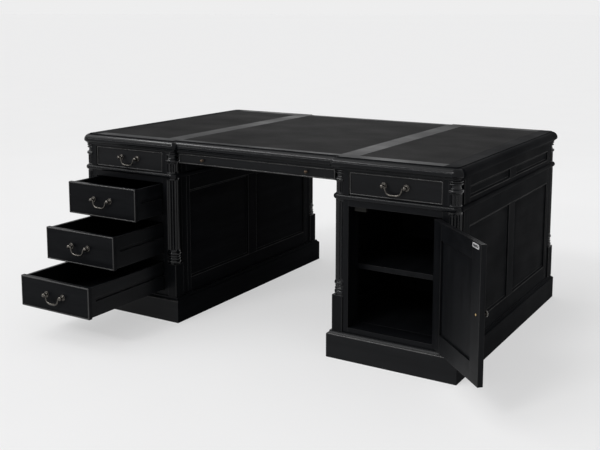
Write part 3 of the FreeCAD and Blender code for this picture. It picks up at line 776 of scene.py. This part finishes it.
def at_corners(rings):
    """A column's rings at all eight corners of the pedestals."""
    places = []
    for hand in (-1, 1):
        for side, axis_x in ((1, outer_x - side_inset), (-1, inner_x + side_inset)):
            for front in (-1, 1):
                axis = (hand * axis_x, front * (face_y - front_inset))
                turn = (hand * side, front)
                placed = []
                for ring in rings:
                    placed.append([(axis[0] + turn[0] * x, axis[1] + turn[1] * y, z) for x, y, z in ring])
                places.append(placed)
    return places


def eased_block(mesh, low, high, edge, edge_finish):
    """A square block with softened arrises."""
    made = bmesh.ops.create_cube(mesh, size=1)["verts"]
    size = Vector(high) - Vector(low)
    bmesh.ops.scale(mesh, vec=size, verts=made)
    bmesh.ops.translate(mesh, vec=(Vector(high) + Vector(low)) / 2, verts=made)
    edges = list({side for corner in made for side in corner.link_edges})
    for face in {face for corner in made for face in corner.link_faces}:
        face.normal_update()
        faces_end = abs(face.normal.x) > facing_share
        face.material_index = block_end_finish if faces_end else block_front_finish
    bmesh.ops.bevel(
        mesh, geom=edges, offset=edge, segments=3, profile=0.5, affect="EDGES", material=edge_finish,
    )


def add_blocks(mesh, low, high, edge, edge_finish):
    """The same square block at all eight corners, from a column's own axis."""
    for near, far in at_corners([[low], [high]]):
        pairs = list(zip(near[0], far[0]))
        eased_block(mesh, [min(pair) for pair in pairs], [max(pair) for pair in pairs], edge, edge_finish)


def add_bed_strips(mesh, radius, low, high):
    """Narrow strips that close the notch up to the column, flush with the post's front."""
    lap = sqrt(radius ** 2 - front_inset ** 2) - strip_lap
    inner = (side_inset - notch_width, 0, low)
    outer = (-lap, front_inset, high)
    add_blocks(mesh, inner, outer, strip_edge, block_front_finish)


def make_pedestal_columns():
    low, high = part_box("pedestal_columns")
    foot = low.z + block_height
    profile = [(26, 0), (28, 0.5), (28, 3)]
    profile += bead(3, 18, 26.5, 31, 12)
    profile += bead(18.5, 29, 26, 29.5)
    profile += bead(30, 39, 25.5, 28)
    profile += bead(40, 53, 26, 31, 12)
    profile += scoop(54, 59, 28.4, shaft_radius / mm)
    rings = column_rings(profile, foot)
    rings += fluted(shaft_radius, foot + shaft_foot, high.z - shaft_head)
    rings.append(column_ring(shaft_radius, high.z))
    mesh = bmesh.new()
    for placed in at_corners(rings):
        add_shell(mesh, *skin(placed))
    inner = (side_inset - notch_width, front_inset - notch_depth, low.z)
    outer = (side_inset + block_stand, front_inset + block_stand, foot)
    add_blocks(mesh, inner, outer, block_edge, block_arris_finish)
    add_bed_strips(mesh, shaft_radius, foot, high.z)
    finish_piece("fluted_columns", mesh, "desk", "black_wood", column_finishes, "pedestal_columns")


def make_frieze_columns():
    low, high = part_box("frieze_columns")
    lower = [(26.5, 0), (26.5, 2.5), (drum_radius / mm, 4)]
    upper = [(drum_radius / mm, 46.5)]
    upper += bead(47, 61, 25, 31, 14)
    upper += [(24.5, 61.5), (24.5, 63)]
    upper += scoop(63, 72, 24.5, 22)
    upper += [(22, 75)]
    upper += bead(75.5, 84, 22.5, 28.5, 12)
    upper += [(24.5, 84.5), (24.5, 86)]
    upper += bead(86, 92, 25, 29)
    rings = column_rings(lower, low.z)
    rings += fluted(drum_radius, low.z + drum_foot, low.z + drum_head)
    rings += column_rings(upper, low.z)
    rings.append(column_ring(frieze_cap_radius, high.z))
    mesh = bmesh.new()
    for placed in at_corners(rings):
        add_shell(mesh, *skin(placed))
    add_bed_strips(mesh, drum_radius, low.z, high.z)
    finish_piece("fluted_frieze_columns", mesh, "desk", "black_wood", column_finishes, "frieze_columns")


# Boards and fittings of the frame, each solid with softened arrises
def solids_of(data):
    """The separate solids of a CAD mesh: one ends where no edge is open."""
    keys = {}
    welded = []
    for vertex in data.vertices:
        key = tuple(round(value / weld) for value in vertex.co)
        welded.append(keys.setdefault(key, len(keys)))
    places = [None] * len(keys)
    for vertex, index in zip(data.vertices, welded):
        places[index] = vertex.co.copy()
    solids, faces, open_edges = [], [], set()
    for polygon in data.polygons:
        corners = [welded[index] for index in polygon.vertices]
        faces.append(corners)
        for start, end in zip(corners, corners[1:] + corners[:1]):
            if (end, start) in open_edges:
                open_edges.remove((end, start))
            elif start != end:
                open_edges.add((start, end))
        if not open_edges:
            solids.append(faces)
            faces = []
    return places, solids


def eased_solid(places, faces, edge):
    """One solid with its flat faces whole and its arrises softened."""
    solid = bmesh.new()
    corners = {}
    for face in faces:
        for index in face:
            if index not in corners:
                corners[index] = solid.verts.new(places[index])
    for face in faces:
        if len(set(face)) == len(face):
            solid.faces.new([corners[index] for index in face])
    bmesh.ops.recalc_face_normals(solid, faces=solid.faces)
    bmesh.ops.dissolve_limit(solid, angle_limit=flat_angle, verts=solid.verts, edges=solid.edges)
    low, high = reach_of([corner.co for corner in solid.verts])
    size = [end - start for start, end in zip(low, high)]
    for face in solid.faces:
        face.material_index = size.index(max(size))
    sharp = []
    for side in solid.edges:
        if len(side.link_faces) == 2 and bluntest_arris < side.calc_face_angle() < sharpest_arris:
            sharp.append(side)
    # The softened arrises take the lighter arris finish: wear and a painted highlight
    bmesh.ops.bevel(
        solid, geom=sharp, offset=edge, segments=2, profile=0.5, affect="EDGES", clamp_overlap=True,
        material=arris_finish,
    )
    return solid


def beaded_front(places, faces, outward):
    """A drawer front with a half-round cock bead round its field and a groove inside it; the bead's faces carry a
    painted highlight.
    """
    low, high = reach_of([places[index] for face in faces for index in face])
    front_y, back_y = (high[1], low[1]) if outward > 0 else (low[1], high[1])
    thickness = abs(front_y - back_y)
    steps = [(wood_edge, thickness), (0, thickness - wood_edge)]
    first = len(steps)
    for index in range(bead_steps + 1):
        turn = pi * index / bead_steps
        steps.append((bead_width / 2 * (1 - cos(turn)), bead_height * (1 - sin(turn))))
    last = len(steps) - 1
    groove = bead_height + bead_groove
    for inset, depth in ((0.2, groove), (0.9, groove), (1.4, bead_height)):
        steps.append((bead_width + inset * mm, depth))
    rings = []
    for inset, depth in steps:
        ring = rectangle((low[0], high[0]), (low[2], high[2]), inset, front_y - outward * depth)
        rings.append([(x, y, z) for x, z, y in ring])
    solid = bmesh.new()
    made = add_shell(solid, *skin(rings))
    sides = len(rings[0])
    # The bead's faces take the paler finish, a painted highlight
    for face in made[skin_ends + sides * first:skin_ends + sides * last]:
        face.material_index = bead_highlight_finish
    return solid


def dress_node(node, slot_name, materials, edge):
    """A CAD node's solids, eased, as one piece; each board has its own stretch of the grain."""
    body = body_of_node(node)
    places, solids = solids_of(frame["nodes"][node].data)
    mesh = bmesh.new()
    owners = []
    for count, faces in enumerate(solids):
        if node.endswith("_drawer") and count == 0:
            solid = beaded_front(places, faces, 1 if node.startswith("rear_") else -1)
        else:
            solid = eased_solid(places, faces, edge)
        data = bpy.data.meshes.new("solid")
        solid.to_mesh(data)
        solid.free()
        mesh.from_mesh(data)
        owners += [count] * len(data.vertices)
        bpy.data.meshes.remove(data)
    piece = finish_piece(node + "_eased", mesh, body, slot_name, materials, node)
    shifts = piece.data.attributes.new("board", "FLOAT_VECTOR", "POINT")
    for index, count in enumerate(owners):
        shifts.data[index].vector = [count * step for step in board_shift]
    for face in piece.data.polygons:
        faces_end = abs(face.normal.x) > facing_share or node.endswith(end_nodes)
        if body == "desk" and face.material_index < arris_finish and faces_end:
            face.material_index += first_end_finish


def body_of_node(node):
    for body, members in frame["record"]["behaviour"]["bodies"].items():
        if node in members:
            return body
    raise ValueError("no body holds " + node)


def wood_finishes(node):
    """Grain along each axis, arrises lighter with wear and a painted highlight (a fainter painted highlight on the
    ends' nodes), the quieter finish of the ends, and the drawers' beads with a painted highlight.
    """
    arris = side_edge_highlight if node.endswith(end_nodes) else worn_and_highlight_edge
    grains = list(boards)
    if node.endswith("_drawer"):
        grains[0] = frieze_front if node.endswith(("frieze_drawer", "centre_drawer")) else drawer_front
    return grains + [arris] + side_boards + [bead_highlight]


def make_boards_and_fittings():
    fittings = {
        "magnetic_catches": catch_case,
        "post_hinge_leaves": steel,
        "door_hinge_leaves": steel,
        "rear_door_hinge_leaves": steel,
    }
    made_apart = (
        "columns", "pull_posts", "bail", "knobs", "knob", "desk_top", "leather_panels", "top_moulding",
        "waist_boards", "plinth_boards",
    )
    for node in sorted(frame["nodes"]):
        if node.endswith(made_apart):
            continue
        if node in fittings:
            dress_node(node, "steel_fittings", [fittings[node]] * bead_highlight_finish, metal_edge)
        else:
            dress_node(node, "black_wood", wood_finishes(node), wood_edge)


# Pulls and knobs
def lathe(profile, turn):
    """A turned skin from (radius, reach) steps, standing along +Z and then placed by a matrix."""
    rings = []
    for radius, reach in profile:
        ring = []
        for index in range(lathe_points):
            angle = 2 * pi * index / lathe_points
            ring.append(turn @ Vector((radius * cos(angle), radius * sin(angle), reach)))
        rings.append(ring)
    return skin(rings)


def ball(radius, low, high, steps=14):
    """(radius, reach) steps in millimetres over a ball between two reaches."""
    profile = []
    for index in range(steps + 1):
        turn = pi * index / steps
        reach = (low + high) / 2 - (high - low) / 2 * cos(turn)
        profile.append((max(radius * sin(turn), 0.3), reach))
    return profile


def post_profile():
    """A pull's post: rose, hollow neck, ring, and the ball that the bail pivots in."""
    profile = [(11, 0)] + bead(0.2, 2.2, 11.4, 12.6)
    profile += [(10, 2.3)] + scoop(2.4, 6.2, 9.4, 5)
    profile += [(5, 8.2)] + bead(8.4, 10.2, 5.2, 6.6)
    head = ball(8.6, 7.4, (post_reach + post_ball_stand) / mm)
    profile += [step for step in head if step[1] > 10.6]
    return [(radius * mm, reach * mm) for radius, reach in profile]


def forward(place, outward):
    """Turns +Z to point out of a front: -Y at the front of the desk, +Y at the rear."""
    return Matrix.Translation(place) @ Matrix.Rotation(-outward * pi / 2, 4, "X")


def curve_through(places, steps=10):
    """A smooth line through places in a plane."""
    line = []
    padded = [places[0]] + places + [places[-1]]
    for one, two, three, four in zip(padded, padded[1:], padded[2:], padded[3:]):
        for index in range(steps):
            part = index / steps
            point = []
            for a, b, c, d in zip(one, two, three, four):
                value = 2 * b + (c - a) * part + (2 * a - 5 * b + 4 * c - d) * part ** 2
                point.append((value + (3 * b - a - 3 * c + d) * part ** 3) / 2)
            line.append(tuple(point))
    return line + [places[-1]]


def bail_rings(middle):
    """Rings along the bail: pivots, drawn-in legs and a grip that swells a little."""
    half = [(x * mm, z * mm) for x, z in bail_half_line]
    line = curve_through(half + [(-x, z) for x, z in reversed(half)])
    y_axis = Vector((0, 1, 0))
    rings = []
    for index, (x, z) in enumerate(line):
        before = line[max(index - 1, 0)]
        after = line[min(index + 1, len(line) - 1)]
        along = Vector((after[0] - before[0], 0, after[1] - before[1])).normalized()
        across = y_axis.cross(along)
        radius = bail_radius + bail_swell * max(1 - (x / bail_swell_half) ** 2, 0)
        if abs(x) > bail_tip_x:
            radius *= bail_tip_share
        ring = []
        for step in range(bail_points):
            turn = 2 * pi * step / bail_points
            spoke = y_axis * cos(turn) + across * sin(turn)
            ring.append(middle + Vector((x, 0, z)) + radius * spoke)
        rings.append(ring)
    return rings


def make_pulls():
    for prefix, outward in (("", -1), ("rear_", 1)):
        for drawer in ("upper", "middle", "lower", "left_frieze", "right_frieze"):
            name = prefix + drawer
            posts = name + "_pull_posts"
            low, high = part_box(posts)
            middle = (low + high) / 2
            field = high.y if outward < 0 else low.y
            mesh = bmesh.new()
            for hand in (-1, 1):
                place = Vector((middle.x + hand * post_spacing / 2, field, middle.z))
                add_shell(mesh, *lathe(post_profile(), forward(place, outward)))
            finish_piece(name + "_turned_posts", mesh, name + "_drawer", "aged_brass", [bronze], posts)
            pivot = Vector((middle.x, field + outward * pivot_reach, middle.z))
            mesh = bmesh.new()
            add_shell(mesh, *skin(bail_rings(pivot)))
            bail = name + "_bail"
            finish_piece(name + "_swan_bail", mesh, bail, "aged_brass", [bronze], bail)


def knob_profile(radius, height):
    """A turned knob, in shares of its radius and height: base ring, neck and a domed head."""
    base = bead(0.02 * height, 0.2 * height, 0.66 * radius, 0.78 * radius)
    neck = scoop(0.22 * height, 0.44 * height, 0.66 * radius, 0.42 * radius)
    profile = [(0.6 * radius, 0)] + base + neck + [(0.44 * radius, 0.5 * height)]
    steps = 12
    for index in range(1, steps + 1):
        turn = pi * (0.22 + 0.78 * index / steps)
        reach = 0.74 * height - 0.26 * height * cos(turn)
        profile.append((max(radius * sin(turn), 0.2 * mm), reach))
    return profile


def make_knobs():
    for prefix, outward in (("", -1), ("rear_", 1)):
        low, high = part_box(prefix + "centre_drawer_knobs")
        radius = (high.z - low.z) / 2
        height = high.y - low.y
        field = high.y if outward < 0 else low.y
        mesh = bmesh.new()
        for x in (low.x + radius, high.x - radius):
            place = forward(Vector((x, field, (low.z + high.z) / 2)), outward)
            add_shell(mesh, *lathe(knob_profile(radius, height), place))
        name = prefix + "turned_drawer_knobs"
        drawer = prefix + "centre_drawer"
        finish_piece(name, mesh, drawer, "aged_brass", [copper_bronze], drawer + "_knobs")


# Door knob and strike, drawn on the shut door and swung with it
def hinge_axis(name):
    for joint in frame["joints"]:
        if joint["name"] == name:
            return Vector(joint["pos_m"])
    raise ValueError("no joint named " + name)


def screw_profile():
    """The low domed head of a screw."""
    profile = [(screw_radius, 0)]
    for turn in (0, 0.4, 0.8, 1.2, 1.45):
        profile.append((screw_radius * cos(turn), screw_rim + screw_dome * sin(turn)))
    return profile


def make_door_knobs():
    low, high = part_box("rear_door_knob")
    level = (low.z + high.z) / 2
    for prefix in ("", "rear_"):
        mesh = bmesh.new()
        knob_place = forward(Vector((door_knob_x, -door_face, level)), -1)
        screw_place = forward(Vector((door_knob_x, door_thickness - door_face, level)), 1)
        add_shell(mesh, *lathe(knob_profile(door_knob_radius, door_knob_height), knob_place))
        add_shell(mesh, *lathe(screw_profile(), screw_place), 1)
        bmesh.ops.transform(mesh, matrix=door_turn(prefix), verts=mesh.verts)
        name = prefix + "turned_door_knob"
        finishes = [bronze, screw_brass]
        finish_piece(name, mesh, prefix + "cupboard_door", "aged_brass", finishes, prefix + "door_knob")


def door_turn(prefix):
    """From the shut front door to where a door hangs at rest."""
    if prefix:
        return Matrix.Rotation(pi, 4, "Z")
    axis = hinge_axis("cupboard_door_hinge")
    swing = Matrix.Rotation(door_opening, 4, "Z")
    return Matrix.Translation(axis) @ swing @ Matrix.Translation(-axis)


def rim_rings(middle, half_length, half_height, radius, stand):
    """A flat bead along a rectangle with round ends, in the XZ plane."""
    straight = half_length - half_height
    rings = []
    for hand, first in ((1, -90), (-1, 90)):
        for index in range(rim_steps + 1):
            turn = radians(first + 180 * index / rim_steps)
            ring = []
            for step in range(rim_points):
                around = 2 * pi * step / rim_points
                out = half_height + radius * cos(around)
                x = middle.x + hand * straight + out * cos(turn)
                ring.append((x, middle.y + stand * sin(around), middle.z + out * sin(turn)))
            rings.append(ring)
    return rings


def make_strikes():
    """The pale rim and the steel middle of each door's strike plate."""
    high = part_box("rear_cupboard_door")[1]
    back = door_thickness - door_face
    middle = Vector((strike_inset + strike_width / 2 - high.x, back + strike_thickness, 0))
    middle.z = high.z - strike_drop - strike_height / 2
    half_length = strike_width / 2 - strike_rim
    half_height = strike_height / 2 - strike_rim
    pad_depth = strike_rim / 3
    pad = Vector((half_length - pad_end, pad_depth, half_height - pad_side))
    sunk = middle - Vector((0, pad_depth - strike_stand, 0))
    finishes = [pale_plating, steel, steel, steel]
    for prefix in ("", "rear_"):
        mesh = bmesh.new()
        rings = rim_rings(middle, half_length, half_height, strike_rim, strike_stand)
        add_shell(mesh, *hollow_skin(rings))
        eased_block(mesh, sunk - pad, sunk + pad, metal_edge, block_arris_finish)
        bmesh.ops.transform(mesh, matrix=door_turn(prefix), verts=mesh.verts)
        finish_piece(prefix + "strike_rim", mesh, prefix + "cupboard_door", "steel_fittings", finishes)


# Stage: floor, light and camera
def make_stage():
    """The floor, the world, suns for even light, and strips for highlights on the noses."""
    data = bpy.data.meshes.new("studio_floor")
    span = (-floor_reach, floor_reach)
    data.from_pydata(rectangle(span, span, 0, 0), [], [(0, 1, 2, 3)])
    data.materials.append(pale_floor())
    floor = add_object("studio_floor", data)
    make_world()
    add_sun("left_light", direction=(0.7, 0.3, -1), spread_degrees=45, strength=0.8)
    add_sun("front_light", direction=(0.3, 1, -0.9), spread_degrees=16, strength=0.95)
    add_lamp("front_strip", place=(-2.6, -4.4, 2.6), aim=(-2.6, 0, 0.6), size=(5, 0.2), power=45)
    over_left = (-2.1, -1.7, 3.6)
    sheen = add_lamp("sheen_strip", place=over_left, aim=(-0.6, -0.6, 0.7), size=(3.4, 0.3), power=60)
    sheen.visible_diffuse = False
    add_lamp("back_strip", place=(-1.2, 3.2, 2.6), aim=(0.2, 0, 0.7), size=(3, 0.5), power=10)
    add_lamp("back_softbox", place=(-2.4, 4.4, 1.75), aim=(0.3, 0, 0.7), size=(1.6, 0.8), power=4)


def make_world():
    """An even studio: a pale backdrop for the eye and for reflections, and a softer fill light."""
    world = bpy.data.worlds.new("studio")
    world.use_nodes = True
    bpy.context.scene.world = world
    tree = world.node_tree
    fill = tree.nodes["Background"]
    fill.inputs["Color"].default_value = (1, 1, 1, 1)
    fill.inputs["Strength"].default_value = world_fill
    seen = add_node(tree, "Background", Color=backdrop_colour, Strength=1)
    choice = add_node(tree, "MixShader")
    tree.links.new(seen_directly(tree), choice.inputs["Fac"])
    tree.links.new(fill.outputs["Background"], choice.inputs[1])
    tree.links.new(seen.outputs["Background"], choice.inputs[2])
    tree.links.new(choice.outputs["Shader"], tree.nodes["World Output"].inputs["Surface"])


def add_sun(name, direction, spread_degrees, strength):
    """A soft light that falls alike on the whole floor."""
    lamp = bpy.data.lights.new(name, "SUN")
    lamp.angle = radians(spread_degrees)
    lamp.energy = strength
    made = add_object(name, lamp)
    made.rotation_euler = Vector(direction).to_track_quat("-Z", "Y").to_euler()


def add_lamp(name, place, aim, size, power):
    lamp = bpy.data.lights.new(name, "AREA")
    lamp.shape = "RECTANGLE"
    lamp.size, lamp.size_y = size
    lamp.energy = power
    made = add_object(name, lamp)
    made.location = place
    made.rotation_euler = (Vector(aim) - Vector(place)).to_track_quat("-Z", "Y").to_euler()
    return made


def make_camera():
    data = bpy.data.cameras.new("camera")
    data.sensor_width = 36
    data.lens = camera_lens
    data.shift_y = camera_shift
    made = add_object("camera", data)
    made.location = camera_place
    made.rotation_euler = (pi / 2 - camera_tilt, 0, camera_turn)
    bpy.context.scene.camera = made


make_top()
make_moulding()
make_waist()
make_plinths()
make_pedestal_columns()
make_frieze_columns()
make_boards_and_fittings()
make_pulls()
make_knobs()
make_door_knobs()
make_strikes()
make_stage()
make_camera()
bpy.context.scene.view_settings.view_transform = "Standard"
